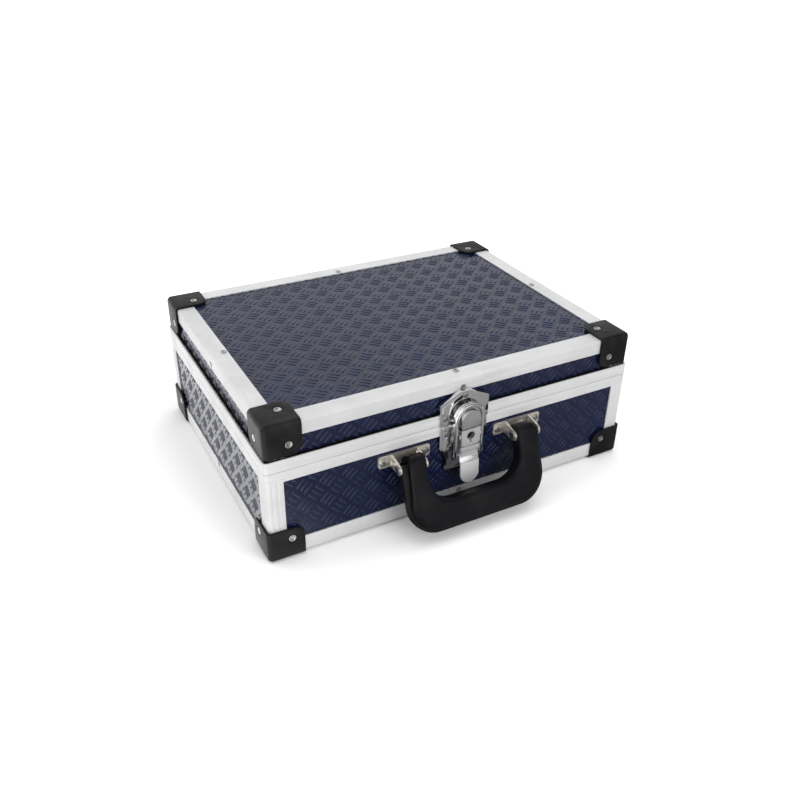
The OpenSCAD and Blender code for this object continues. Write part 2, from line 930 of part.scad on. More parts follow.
// Side view of the lever's bent strip, as distances outwards and heights
module lever_strip() {
    t = latch_t;
    face = front_y - lever_face_out;
    recess = front_y - recess_out;
    recess_foot = front_y - recess_foot_out;
    tab_top = front_y - tab_top_out;
    tab_tip = front_y - tab_tip_out;
    top_high = seam_z - lever_top_low;
    bend = seam_z - lever_face_h;
    recess_high = bend - bevel_low;
    recess_end = seam_z - recess_low;
    tab_end = seam_z - tab_low;
    polygon([
        [face, top_high], [face, bend], [recess, recess_high], [recess_foot, recess_end],
        [tab_top, recess_end - t], [tab_tip, tab_end], [tab_tip + t, tab_end],
        [tab_top + t, recess_end - 2 * t], [recess_foot + t, recess_end - t],
        [recess + t, recess_high + t / 2], [face + t, bend + t / 2], [face + t, top_high]
    ]);
}

// Lever with its lock plate, side flanges, lock barrel and pull tab
module latch_lever() {
    half = lever_w / 2;
    flange_low = seam_z - lever_flange_low;
    flange_high = seam_z - lever_top_low - 2 * latch_t;
    flange_depth = lever_face_out - latch_t / 2 - lever_flange_back;
    barrel_depth = lever_face_out - latch_t / 2 - lock_back_out;
    color("silver")
        difference() {
            union() {
                intersection() {
                    translate([-half, 0, 0])
                        rotate([90, 0, 90])
                            linear_extrude(lever_w)
                                lever_strip();
                    front_sheet(0, 2 * tab_tip_out) {
                        translate([-half, seam_z - tab_low + half])
                            square([lever_w, tab_low - half]);
                        translate([0, seam_z - tab_low + half]) circle(half);
                    }
                }
                for (s = [-1, 1])
                    translate([
                        s * (half - latch_t / 2) - latch_t / 2,
                        front_y - lever_flange_back - flange_depth,
                        flange_low
                    ])
                        cube([latch_t, flange_depth, flange_high - flange_low]);
                lock_axis(lock_back_out)
                    cylinder(h = barrel_depth, r = keyhole_r + pin_gap + lock_wall);
            }
            lever_notch();
            face_groove();
            lock_axis(lock_back_out - over)
                cylinder(h = lever_face_out, r = keyhole_r + pin_gap);
            lock_axis(lock_face_out + latch_t)
                translate([-key_slot_w / 2, -key_slot_l, 0])
                    cube([key_slot_w, key_slot_l, lever_face_out]);
            lever_axis() cylinder(h = lever_w + over, r = latch_stub_r + pin_gap, center = true);
            hood_axis()
                for (s = [-1, 1])
                    translate([0, 0, s * half])
                        cylinder(h = 2 * latch_t + over, r = latch_stub_r + pin_gap, center = true);
        }
}

// What the flanges would keep in front of the bent strip beside the recess
module lever_notch() {
    high = seam_z - lever_face_h - bevel_low;
    foot = seam_z - recess_low;
    front = front_y - tab_tip_out;
    translate([-lever_w, 0, 0])
        rotate([90, 0, 90])
            linear_extrude(2 * lever_w)
                polygon([
                    [front_y - recess_out, high], [front_y - recess_foot_out, foot],
                    [front_y - tab_top_out, foot - latch_t], [front, foot - latch_t], [front, high]
                ]);
}

// Groove that marks the lower end of the lock plate
module face_groove() {
    translate([-lever_w, front_y - lever_face_out - over, seam_z - face_groove_low - face_groove_w / 2])
        cube([2 * lever_w, over + face_groove_d, face_groove_w]);
}

// Axis of the lock, from a distance in front of the profiles outwards
module lock_axis(out) {
    translate([0, front_y - out, lock_z])
        rotate([90, 0, 0])
            children();
}

// Turning plug of the lock, with the tail that reaches into a lug's slot
module lock_plug() {
    color("#3a3a3a")
        difference() {
            union() {
                lock_axis(lock_tail_out)
                    cylinder(h = lock_face_out - lock_tail_out, r = keyhole_r);
                lock_axis(lock_tail_out)
                    translate([-lock_tail_w / 2, -lock_tail_r, 0])
                        cube([lock_tail_w, lock_tail_r, lock_tail_t]);
            }
            lock_axis(lock_face_out - key_depth)
                translate([-key_slot_w / 2, -keyhole_r, 0])
                    cube([key_slot_w, 2 * keyhole_r - key_slot_w, key_depth + over]);
        }
}

// Arch-shaped outline that stands on a height
module arch(r, low) {
    intersection() {
        union() {
            translate([0, hood_arch_z]) circle(r);
            translate([-r, low]) square([2 * r, hood_arch_z - low]);
        }
        translate([-r, low]) square([2 * r, hood_arch_z + r - low]);
    }
}

// Section of the hood's band: X from the middle of the hood, Y outwards from the profiles
module band_section() {
    r = hood_band_w / 2;
    translate([hood_in, hood_band_back])
        square([hood_band_w, hood_band_front - r - hood_band_back]);
    translate([hood_in + r, hood_band_front - r]) circle(r);
}

// Hood with its rounded band, its raised plate over the lid and its two pivoted legs
module latch_hood() {
    plate_low = seam_z + hood_low;
    plate_r = lever_w / 2;
    color("silver")
        difference() {
            union() {
                translate([0, front_y, hood_arch_z])
                    rotate([90, 0, 0])
                        rotate_extrude(angle = 180)
                            band_section();
                for (s = [0, 1])
                    mirror([s, 0, 0])
                        translate([0, front_y, hood_pivot_z])
                            linear_extrude(hood_arch_z - hood_pivot_z)
                                mirror([0, 1])
                                    band_section();
                for (s = [-1, 1])
                    translate([s * (hood_in + hood_band_w / 2), front_y - hood_pivot_out, hood_pivot_z])
                        rotate([0, 90, 0])
                            cylinder(h = hood_band_w, r = hood_eye_r, center = true);
                front_sheet(hood_band_back, hood_band_back + latch_t)
                    difference() {
                        arch(hood_in + latch_t / 2, plate_low);
                        arch(plate_r - latch_t, plate_low - over);
                    }
                front_sheet(hood_band_back, lever_face_out)
                    difference() {
                        arch(plate_r, plate_low);
                        arch(plate_r - latch_t, plate_low - over);
                    }
                front_sheet(lever_face_out - latch_t, lever_face_out)
                    arch(plate_r, plate_low);
            }
            hood_axis() cylinder(h = 3 * hood_r, r = latch_stub_r + pin_gap, center = true);
        }
}

// Right half of the strike plate's outline, drawn in from its sides and its top
function strike_half(inset) =
    let (
        half = strike_w / 2 - inset,
        top = seam_z + strike_top - inset,
        side = seam_z + strike_side - inset,
        step = (strike_top - strike_side) / 3
    )
    [
        [0, lid_low_z], [half, lid_low_z], [half, side],
        [half * strike_shoulder_share, side + step],
        [half * strike_crown_share, top - step],
        [half * strike_peak_share, top], [0, top]
    ];

// Strike plate on the lid, with a stepped top and a raised arch behind the hood
module latch_strike_plate() {
    color("silver")
        difference() {
            union() {
                front_sheet(0, latch_t) both_halves(strike_half(0));
                front_sheet(0, latch_t + plate_raise) both_halves(strike_half(plate_border));
                front_sheet(-strike_skirt, latch_t)
                    difference() {
                        both_halves(strike_half(0));
                        both_halves(strike_half(latch_t));
                        translate([-strike_w, 0]) square([2 * strike_w, lid_low_z + lid_rim_h]);
                    }
                front_sheet(0, latch_t + 2 * plate_raise)
                    difference() {
                        arch(hood_r + strike_arch_w, lid_low_z);
                        arch(hood_r, lid_low_z - over);
                    }
            }
            plate_rivet_holes(true);
        }
}

// One hinge leaf and its knuckles; the lid's leaf also carries the stop
module hinge_leaf(side, lid) {
    own = lid ? [1, 3] : [0, 2, 4];
    others = lid ? [0, 2, 4] : [1, 3];
    x0 = side * hinge_x - hinge_w / 2;
    room = knuckle_r + knuckle_gap;
    color("silver")
        difference() {
            union() {
                difference() {
                    translate([x0, back_y, lid ? lid_low_z : seam_z - hinge_leaf_h])
                        cube([hinge_w, hinge_leaf_t, hinge_leaf_h]);
                    for (i = others)
                        translate([
                            x0 + i * hinge_part_l - knuckle_gap / 2,
                            back_y - over,
                            hinge_axis_z - room
                        ])
                            cube([hinge_part_l + knuckle_gap, hinge_leaf_t + 2 * over, 2 * room]);
                }
                for (i = own)
                    translate([x0 + i * hinge_part_l + knuckle_gap / 2, hinge_axis_y, hinge_axis_z]) {
                        rotate([0, 90, 0]) cylinder(h = hinge_part_l - knuckle_gap, r = knuckle_r);
                        if (lid)
                            translate([0, 0, -hinge_stop_drop])
                                cube([hinge_part_l - knuckle_gap, hinge_stop_l, hinge_stop_t]);
                    }
            }
            translate([x0 - over, hinge_axis_y, hinge_axis_z])
                rotate([0, 90, 0])
                    cylinder(h = hinge_w + 2 * over, r = hinge_pin_r + pin_gap);
            hinge_rivet_holes(lid);
        }
}

module hinge_rivet_places(lid) {
    z = lid ? lid_low_z + hinge_rivet_low : seam_z - hinge_rivet_low;
    for (side = [-1, 1], s = [-2, 0, 2])
        translate([side * hinge_x + s * hinge_part_l, back_y + hinge_leaf_t, z])
            facing("back")
                children();
}

function hinge_rivet_length(lid) = hinge_leaf_t + rivet_bite + (lid ? lid_recess : profile_t);

module hinge_rivet_holes(lid) {
    hinge_rivet_places(lid)
        cylinder(h = 2 * hinge_rivet_length(lid), r = hinge_rivet_r + pin_gap, center = true);
}

module hinge_rivets(lid) {
    color("gainsboro")
        hinge_rivet_places(lid)
            rivet(hinge_rivet_head_r, hinge_rivet_head_h, hinge_rivet_r, hinge_rivet_length(lid));
}

module hinge_pins() {
    color("gainsboro")
        for (side = [-1, 1])
            translate([side * hinge_x, hinge_axis_y, hinge_axis_z])
                rotate([0, 90, 0])
                    cylinder(h = hinge_w, r = hinge_pin_r, center = true);
}

base_bottom_panel();
base_side_panel("front");  // base_front_panel
base_side_panel("back");  // base_back_panel
base_side_panel("left");  // base_left_panel
base_side_panel("right");  // base_right_panel
edge_profile("front", false);  // base_edge_front
edge_profile("back", false);  // base_edge_back
edge_profile("left", false);  // base_edge_left
edge_profile("right", false);  // base_edge_right
base_post(-1, -1);  // base_post_front_left
base_post(1, -1);  // base_post_front_right
base_post(-1, 1);  // base_post_back_left
base_post(1, 1);  // base_post_back_right
base_rim();
corner_guard(-1, -1, false);  // base_guard_front_left
corner_guard(1, -1, false);  // base_guard_front_right
corner_guard(-1, 1, false);  // base_guard_back_left
corner_guard(1, 1, false);  // base_guard_back_right
body_rivets(false);  // base_rivets
lid_top_panel();
lid_side_panel("front");  // lid_front_panel
lid_side_panel("back");  // lid_back_panel
lid_side_panel("left");  // lid_left_panel
lid_side_panel("right");  // lid_right_panel
edge_profile("front", true);  // lid_edge_front
edge_profile("back", true);  // lid_edge_back
edge_profile("left", true);  // lid_edge_left
edge_profile("right", true);  // lid_edge_right
lid_post(-1, -1);  // lid_post_front_left
lid_post(1, -1);  // lid_post_front_right
lid_post(-1, 1);  // lid_post_back_left
lid_post(1, 1);  // lid_post_back_right
lid_rim();
corner_guard(-1, -1, true);  // lid_guard_front_left
corner_guard(1, -1, true);  // lid_guard_front_right
corner_guard(-1, 1, true);  // lid_guard_back_left
corner_guard(1, 1, true);  // lid_guard_back_right
body_rivets(true);  // lid_rivets
handle_bracket(-1);  // handle_bracket_left
handle_bracket(1);  // handle_bracket_right
bracket_screws();  // handle_bracket_screws
handle_pins();
handle();
latch_base_plate();
plate_rivets(false);  // latch_base_rivets
latch_pivot_rivets();
latch_strike_plate();
plate_rivets(true);  // latch_strike_rivets
latch_lever();
latch_hood_rivets();
latch_hood();
lock_plug();
hinge_leaf(-1, false);  // hinge_left_base_leaf
hinge_leaf(1, false);  // hinge_right_base_leaf
hinge_leaf(-1, true);  // hinge_left_lid_leaf
hinge_leaf(1, true);  // hinge_right_lid_leaf
hinge_pins();
hinge_rivets(false);  // hinge_base_rivets
hinge_rivets(true);  // hinge_lid_rivets
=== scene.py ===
# %% [markdown]
# # A hard tool case in Blender
#
# The case is a shallow box of thin boards, held together by aluminium profiles that are riveted
# along every edge. Black guards cover the eight corners, and a latch, a handle and two hinges
# are the fittings. The CAD model gives the exact size, the joints and the place of every piece.
# This notebook dresses it: it adds what the solids leave out, rounds what is really rounded,
# and gives each piece the finish of the real material.

# %% Loading the frame
import math

import bpy
from mathutils import Matrix, Vector


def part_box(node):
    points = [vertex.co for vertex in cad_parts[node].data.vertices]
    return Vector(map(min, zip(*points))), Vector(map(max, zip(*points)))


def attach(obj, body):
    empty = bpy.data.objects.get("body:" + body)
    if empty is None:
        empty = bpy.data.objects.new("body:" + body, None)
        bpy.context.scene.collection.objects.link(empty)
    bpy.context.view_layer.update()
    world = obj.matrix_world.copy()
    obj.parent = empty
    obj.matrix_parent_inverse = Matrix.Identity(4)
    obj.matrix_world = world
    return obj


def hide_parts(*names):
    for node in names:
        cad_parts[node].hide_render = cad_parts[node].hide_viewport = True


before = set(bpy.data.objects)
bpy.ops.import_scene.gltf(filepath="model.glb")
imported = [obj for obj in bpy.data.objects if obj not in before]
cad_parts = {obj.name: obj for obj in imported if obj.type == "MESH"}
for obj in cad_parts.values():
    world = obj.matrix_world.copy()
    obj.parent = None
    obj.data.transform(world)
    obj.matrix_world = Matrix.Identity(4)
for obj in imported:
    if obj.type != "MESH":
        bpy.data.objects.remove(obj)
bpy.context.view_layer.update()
MM = 0.001

# %% [markdown]
# Later cells measure the case over and over, so its main levels are read from the CAD nodes once.
# A box is two corners, lowest first, in metres. The names say which face each number is:
# `FRONT` and `BACK` are the outer faces of the rims, and `INSET` is how far the rest of a half's
# profiles lie inside its rim.

# %% Main levels of the case
rim_low, rim_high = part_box("base_rim")
lid_rim_low, lid_rim_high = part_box("lid_rim")
lid_edge_low, lid_edge_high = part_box("lid_edge_front")
base_edge_low, base_edge_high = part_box("base_edge_front")
base_post_low, base_post_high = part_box("base_post_front_left")

HALF_W = rim_high.x
FRONT, BACK = rim_low.y, rim_high.y
MID_Y = (FRONT + BACK) / 2
UNDERSIDE, TOP = base_edge_low.z, lid_edge_high.z
FLANGE = lid_edge_high.y - lid_edge_low.y
POST = base_post_high.x - base_post_low.x
INSET = {"base": 0.0, "lid": HALF_W - lid_edge_high.x}
print(f"case {2000 * HALF_W:.1f} x {1000 * (BACK - FRONT):.1f} x {1000 * (TOP - UNDERSIDE):.1f} mm")

# %% [markdown]
# The camera looks down on the front left corner, from about three quarters of a metre away.
# Three numbers turn it: round the case, down towards it, and a slight roll.
# The columns of a camera's matrix are its right, its up and the way back from what it sees,
# so they can be worked out from the angles, and no constraint is needed.

# %% Camera
CAMERA_AT = Vector((-312.45, -576.15, 438.7)) * MM
CAMERA_AZIMUTH = math.radians(-28.67)
CAMERA_HEIGHT = math.radians(31.32)
CAMERA_ROLL = math.radians(0.97)
CAMERA_LENS = 37.905


def camera_columns(azimuth, height, roll):
    level = math.cos(height)
    back = Vector((math.sin(azimuth) * level, -math.cos(azimuth) * level, math.sin(height)))
    right = Vector((math.cos(azimuth), math.sin(azimuth), 0))
    up = back.cross(right)
    turned_right = right * math.cos(roll) + up * math.sin(roll)
    turned_up = up * math.cos(roll) - right * math.sin(roll)
    return turned_right, turned_up, back


def deselect():
    bpy.ops.object.select_all(action="DESELECT")


deselect()
bpy.ops.object.camera_add()
camera = bpy.context.object
camera.name = "camera"
camera.matrix_world = Matrix.Translation(CAMERA_AT) @ Matrix(
    camera_columns(CAMERA_AZIMUTH, CAMERA_HEIGHT, CAMERA_ROLL)
).transposed().to_4x4()
camera.data.lens = CAMERA_LENS
camera.data.sensor_width = 36
camera.data.clip_start = 0.01
bpy.context.scene.camera = camera
bpy.context.scene.view_settings.view_transform = "Standard"
print("camera at", [round(v, 3) for v in CAMERA_AT], "lens", CAMERA_LENS, "mm")

# %% [markdown]
# Sums in a shader are easier to read as sums. `Level` wraps a number socket, so that
# `1 - mask * 0.3` adds its own Math nodes. Everything else that a finish needs comes from one
# method, `Finish.node`, which takes the node's type, its settings and what feeds its sockets.


# %% Shader helpers
class Level:
    """A number socket that can be used in a sum."""

    def __init__(self, finish, socket):
        self.finish = finish
        self.socket = socket

    def maths(self, operation, *values):
        made = self.finish.node("Math", {"operation": operation}, dict(enumerate(values)))
        return Level(self.finish, made)

    def __add__(self, other):
        return self.maths("ADD", self, other)

    def __sub__(self, other):
        return self.maths("SUBTRACT", self, other)

    def __rsub__(self, other):
        return self.maths("SUBTRACT", other, self)

    def __mul__(self, other):
        return self.maths("MULTIPLY", self, other)

    def __gt__(self, other):
        return self.maths("GREATER_THAN", self, other)

    __radd__ = __add__
    __rmul__ = __mul__


class Finish:
    """A material with one Principled shader, and the nodes that vary it."""

    def __init__(self, name, **constants):
        self.material = bpy.data.materials.new(name)
        self.material.use_nodes = True
        self.tree = self.material.node_tree
        self.shader = self.tree.nodes["Principled BSDF"]
        for socket, value in constants.items():
            self.shader.inputs[socket.replace("_", " ")].default_value = value
        self.place = self.node("TexCoord", output="Object")

    def node(self, kind, settings=None, feeds=None, output=0):
        made = self.tree.nodes.new("ShaderNode" + kind)
        for name, value in (settings or {}).items():
            setattr(made, name, value)
        for name, value in (feeds or {}).items():
            self.feed(made.inputs[name], value)
        return made.outputs[output]

    def feed(self, socket, value):
        if isinstance(value, Level):
            value = value.socket
        if isinstance(value, bpy.types.NodeSocket):
            self.tree.links.new(value, socket)
        else:
            socket.default_value = value

    def set(self, **feeds):
        for name, value in feeds.items():
            self.feed(self.shader.inputs[name.replace("_", " ")], value)
        return self.material

    def noise(self, scale, detail=2.0, stretch=(1, 1, 1), rough=0.5):
        placed = self.node("Mapping", None, {"Vector": self.place, "Scale": stretch})
        feeds = {"Vector": placed, "Scale": scale, "Detail": detail, "Roughness": rough}
        return Level(self, self.node("TexNoise", None, feeds))

    def between(self, level, low, high):
        """The level spread from 0 at low to 1 at high."""
        return Level(self, self.node(
            "MapRange", {"clamp": True}, {"Value": level, "From Min": low, "From Max": high}
        ))

    def colours(self, factor, first, second):
        """Mix of two colours that are given as numbers."""
        return self.node(
            "Mix", {"data_type": "RGBA"}, {0: factor, 6: (*first, 1), 7: (*second, 1)}, output=2
        )

    def mixed(self, factor, first, second):
        """Mix of two colours that come from other nodes."""
        return self.node("Mix", {"data_type": "RGBA"}, {0: factor, 6: first, 7: second}, output=2)

    def bump(self, level, depth, strength=1.0):
        return self.node("Bump", None, {"Height": level, "Distance": depth, "Strength": strength})


print("helpers: Level for sums, Finish for materials")

# %% [markdown]
# ## Finishes
#
# The boards wear a thin navy plastic sheet, hard and fairly glossy. It is never quite even:
# its colour drifts a little, handling has dulled it in clouds, and a very fine grain breaks up
# the reflections. The raised bars are painted paler and the ground between them darker, as a
# painted highlight on the relief and painted shade in its hollows. In the gap between a lid board
# and the rim in front of it the sheet is painted black, as painted shade in that deep recess.
# Inside, the bare boards are covered with dark felt. The bars are pieces of their own, with the
# paler sheet. The boards' material does the rest, because a board's outward faces are those whose
# normal points away from the case's middle.

# %% Embossed sheet and lining
# painted highlight and painted shade: the bars get a lighter navy, the ground between them a darker
# one
GROUND_PAINTED_SHADE = ((0.0048, 0.0078, 0.028), (0.003, 0.0052, 0.021))
BAR_PAINTED_LIGHT = ((0.0080, 0.0125, 0.040), (0.0062, 0.0100, 0.033))
FELT, FELT_WORN = (0.022, 0.022, 0.025), (0.035, 0.035, 0.038)
FELT_ROUGH = 0.95
SHEET_GLOSS = 0.38
GAP_SHADE_FADE = 0.9 * MM


def sheet_look(finish, navy_colours):
    """Colour, roughness and height of the navy sheet."""
    drift = finish.between(finish.noise(22, 3), 0.35, 0.7)
    handled = finish.between(finish.noise(38, 4, rough=0.6), 0.4, 0.75)
    grain = finish.noise(1500, 2)
    height = Level(finish, finish.node("SeparateXYZ", None, {0: finish.place}, output="Z"))
    # painted shade: the sheet is painted black and made rough between the seam and just above the
    # lid rim's top
    above_rim = finish.between(height, lid_rim_high.z, lid_rim_high.z + GAP_SHADE_FADE)
    gap_painted_shade = (height > rim_high.z) * (1 - above_rim)
    navy = finish.colours(drift, *navy_colours)
    roughness = 0.20 + handled * 0.12 + gap_painted_shade * 0.6
    return finish.mixed(gap_painted_shade, navy, (0, 0, 0, 1)), roughness, grain


sheet = Finish("navy_sheet", Specular_IOR_Level=SHEET_GLOSS)
sheet_colour, sheet_rough, sheet_grain = sheet_look(sheet, BAR_PAINTED_LIGHT)
sheet.set(Base_Color=sheet_colour, Roughness=sheet_rough, Normal=sheet.bump(sheet_grain, 0.02 * MM))

board = Finish("board_with_lining", Specular_IOR_Level=SHEET_GLOSS)
board_colour, board_rough, board_grain = sheet_look(board, GROUND_PAINTED_SHADE)
case_middle = Vector((0, MID_Y, (UNDERSIDE + TOP) / 2))
case_half = Vector((HALF_W, (BACK - FRONT) / 2, (TOP - UNDERSIDE) / 2))
from_middle = board.node("VectorMath", {"operation": "SUBTRACT"}, {0: board.place, 1: case_middle})
in_halves = board.node("VectorMath", {"operation": "DIVIDE"}, {0: from_middle, 1: case_half})
outward = Level(board, board.node(
    "VectorMath", {"operation": "DOT_PRODUCT"},
    {0: board.node("TexCoord", output="Normal"), 1: in_halves}, output="Value"
)) > 0
felt_tuft = board.noise(900, 4, rough=0.7)
felt_colour = board.colours(board.between(board.noise(60, 5), 0.3, 0.7), FELT, FELT_WORN)
board.set(
    Base_Color=board.mixed(outward, felt_colour, board_colour),
    Roughness=FELT_ROUGH - outward * (FELT_ROUGH - board_rough),
    Normal=board.bump(felt_tuft * 6 * (1 - outward) + board_grain * outward, 0.03 * MM),
)
print("materials:", sheet.material.name, "and", board.material.name)

# %% [markdown]
# The profiles are extruded aluminium with a satin anodised skin. An extrusion die leaves fine
# lines that run along the bar, so the noise behind the finish is stretched a hundredfold in that
# direction, and each bar gets the material that runs its own way. Handling leaves dull smudges.


# %% Aluminium
BRIGHT, DULL = (0.61, 0.61, 0.61 * 1.005), (0.51, 0.51, 0.51 * 1.01)


def aluminium(name, along):
    """Satin aluminium whose fine lines run along the axes marked with 1."""
    finish = Finish(name, Metallic=0.35)
    fine = [0.01 if axis else 1 for axis in along]
    lines = finish.noise(2600, 2, stretch=fine)
    smudge = finish.between(finish.noise(30, 4, rough=0.6), 0.42, 0.72)
    dulled = finish.between(lines * 0.5 + smudge * 0.35, 0.1, 0.7)
    finish.set(
        Base_Color=finish.colours(dulled, BRIGHT, DULL),
        Roughness=0.46 + smudge * 0.1 + lines * 0.1,
        Normal=finish.bump(lines, 0.012 * MM, 0.6),
    )
    return finish.material


ALONG = {"x": (1, 0, 0), "y": (0, 1, 0), "z": (0, 0, 1), "round": (1, 1, 0)}
bars_finish = {way: aluminium("aluminium_" + way, along) for way, along in ALONG.items()}
print("aluminium with lines along:", ", ".join(bars_finish))

# %% [markdown]
# The guards and the handle are black moulded plastic. A mould is spark-eroded, which gives it an
# even fine grain, and the corners that touch the ground and the hand get polished.
# The latch is chromed steel. Its pull tab is satin below a bend, so that one material tells the
# two apart by height. The handle's brackets are nickel, which is warmer, the rivets and hinges
# are plain zinc-plated steel, and the plug behind the keyhole is dark.

# %% Plastic and plated steel
def moulded(name, colour, worn, rough, grain):
    finish = Finish(name, Specular_IOR_Level=0.18)
    rubbed = finish.between(finish.noise(45, 4, rough=0.6), 0.45, 0.75)
    pits = finish.noise(grain, 3)
    finish.set(
        Base_Color=finish.colours(rubbed, colour, worn),
        Roughness=rough + pits * 0.12 - rubbed * 0.08,
        Normal=finish.bump(pits, 0.03 * MM, 0.7),
    )
    return finish.material


TAB_TOP = 48.8 * MM
TAB_FADE = 0.4 * MM


def plated(name, colour, cloudy, rough, ripple=0.0, metal=1.0, satin_tab=False):
    """Plated steel, which may have a satin pull tab at its lower end."""
    finish = Finish(name, Metallic=metal)
    clouds = finish.between(finish.noise(120, 4, rough=0.6), 0.4, 0.75)
    roughness = rough + clouds * 0.08
    if satin_tab:
        height = finish.node("SeparateXYZ", None, {0: finish.place}, output="Z")
        satin = 1 - finish.between(height, TAB_TOP, TAB_TOP + TAB_FADE)
        roughness = roughness + satin * 0.34
        finish.set(Metallic=metal - satin * 0.12)
    if ripple:
        finish.set(Normal=finish.bump(finish.noise(240, 2), ripple * MM))
    finish.set(Base_Color=finish.colours(clouds, colour, cloudy), Roughness=roughness)
    return finish.material


guard_finish = moulded("guard_plastic", (0.0045, 0.0045, 0.005), (0.014, 0.014, 0.015), 0.42, 1600)
handle_finish = moulded("handle_plastic", (0.003, 0.003, 0.004), (0.007, 0.007, 0.008), 0.40, 2200)

CHROME = ((0.84, 0.84, 0.85), (0.76, 0.76, 0.77))
NICKEL = ((0.76, 0.71, 0.64), (0.70, 0.65, 0.58))
ZINC = ((0.66, 0.66, 0.66), (0.50, 0.50, 0.50))
RIVET_STEEL = ((0.50, 0.50, 0.49), (0.34, 0.34, 0.33))
LOCK_STEEL = ((0.035, 0.034, 0.033), (0.02, 0.02, 0.02))
chrome = plated("chrome", *CHROME, rough=0.07, ripple=0.02)
lever_chrome = plated(
    "lever_chrome", *CHROME, rough=0.09, ripple=0.02, metal=0.86, satin_tab=True
)
nickel = plated("nickel", *NICKEL, rough=0.18, ripple=0.004, metal=0.8)
zinc = plated("zinc_plate", *ZINC, rough=0.30)
rivet_steel = plated("rivet_steel", *RIVET_STEEL, rough=0.30)
lock_steel = plated("lock_steel", *LOCK_STEEL, rough=0.45)
print("plastic and plate: 8 finishes")

# %% [markdown]
# ## Working on a CAD piece
#
# A CAD solid has knife-sharp edges, and a real sheet or bar never has: the small round on each
# edge is what catches the light. So a copy is taken, its loose triangles are merged and its flat
# faces joined up, and a bevel of a few tenths of a millimetre is put on every sharp edge.
# The CAD piece itself is never touched: the copy takes its place.


# %% Copies of CAD pieces
EDGE_EASE, POST_EASE, RIM_EASE, GUARD_EASE = 0.3, 0.12, 0.35, 0.55


def activate(piece):
    deselect()
    piece.select_set(True)
    bpy.context.view_layer.objects.active = piece


def edit(piece):
    activate(piece)
    bpy.ops.object.mode_set(mode="EDIT")
    bpy.ops.mesh.select_all(action="SELECT")


def leave_edit():
    bpy.ops.object.mode_set(mode="OBJECT")


def merged_copy(node, name):
    """A merged copy of a CAD node's mesh, as a piece of its own."""
    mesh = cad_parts[node].data.copy()
    mesh.materials.clear()
    piece = bpy.data.objects.new(name, mesh)
    bpy.context.scene.collection.objects.link(piece)
    edit(piece)
    bpy.ops.mesh.remove_doubles(threshold=0.004 * MM)
    bpy.ops.mesh.customdata_custom_splitnormals_clear()
    bpy.ops.mesh.select_all(action="SELECT")
    bpy.ops.mesh.dissolve_limited(angle_limit=math.radians(0.4))
    leave_edit()
    return piece


def apply_modifier(piece, kind, **settings):
    activate(piece)
    made = piece.modifiers.new(kind.lower(), kind)
    for name, value in settings.items():
        setattr(made, name, value)
    bpy.ops.object.modifier_apply(modifier=made.name)
    return piece


def eased(piece, width, segments=2, sharp=35):
    """Rounds every sharp edge by a width in millimetres."""
    return apply_modifier(
        piece, "BEVEL", width=width * MM, segments=segments, limit_method="ANGLE",
        angle_limit=math.radians(sharp), use_clamp_overlap=True, miter_outer="MITER_ARC"
    )


def smooth(piece, angle=40):
    activate(piece)
    bpy.ops.object.shade_smooth_by_angle(angle=math.radians(angle))
    return piece


def dress(piece, body, finish, slot, *nodes):
    """Gives a finished piece its material and its body, and hides the CAD nodes that it stands for.
    """
    piece.data.materials.clear()
    piece.data.materials.append(finish)
    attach(piece, body)
    if nodes:
        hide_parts(*nodes)
    return piece


def paint(node, finish):
    """Gives a CAD node that stays as it is a better material."""
    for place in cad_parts[node].material_slots:
        place.material = finish


print("tools: merged_copy, eased, smooth, dress, paint")

# %% [markdown]
# ## Boards and their tread pattern
#
# The sheet on the boards is embossed like checker plate: groups of three short raised bars, one
# group turned a quarter from the next. The bars could be a bump in the material, but they are
# high enough to catch the light and to be felt, so they are real geometry. One bar is shaped,
# six of them make one repeat of the pattern, and arrays carry it over the board. What lies
# past the profiles is cut away with bisect.

# %% One raised bar
PATTERN = 18.5 * MM
BAR_PITCH = 4.25 * MM
BAR_LONG, BAR_WIDE, BAR_HIGH = 9.8 * MM, 2.6 * MM, 0.54 * MM
BAR_SUNK = 0.06 * MM
RIDGE_SHARE = 0.2


def raised_bar():
    """A low bar along X with a narrow ridge, its underside just below z = 0."""
    deselect()
    bpy.ops.mesh.primitive_cylinder_add(
        vertices=10, radius=BAR_WIDE / 2, depth=BAR_HIGH + BAR_SUNK,
        location=(0, 0, (BAR_HIGH - BAR_SUNK) / 2)
    )
    bar = bpy.context.object
    bpy.ops.object.transform_apply(location=True, rotation=True, scale=True)
    for side in (-1, 1):
        edit(bar)
        bpy.ops.mesh.select_all(action="DESELECT")
        leave_edit()
        for vertex in bar.data.vertices:
            vertex.select = vertex.co.x * side > 0.01 * MM
        activate(bar)
        bpy.ops.object.mode_set(mode="EDIT")
        bpy.ops.transform.translate(value=(side * (BAR_LONG - BAR_WIDE) / 2, 0, 0))
        leave_edit()
    for vertex in bar.data.vertices:
        if vertex.co.z > 0:
            vertex.co.y *= RIDGE_SHARE
            vertex.co.x -= math.copysign(BAR_WIDE / 4, vertex.co.x)
    return bar


one_bar = raised_bar()
bar_size = [round(1000 * v, 2) for v in one_bar.dimensions]
print("bar:", len(one_bar.data.polygons), "faces,", bar_size, "mm")


# %% One repeat of the pattern
def copy_of(piece, name="copy"):
    made = bpy.data.objects.new(name, piece.data.copy())
    bpy.context.scene.collection.objects.link(made)
    return made


def joined(pieces):
    """Joins pieces into the first one."""
    deselect()
    for piece in pieces:
        piece.select_set(True)
    bpy.context.view_layer.objects.active = pieces[0]
    bpy.ops.object.join()
    return pieces[0]


def placed(piece, matrix):
    """Moves a piece's mesh, and leaves its object at the origin."""
    piece.data.transform(matrix)
    if matrix.determinant() < 0:
        edit(piece)
        bpy.ops.mesh.normals_make_consistent(inside=False)
        leave_edit()
    return piece


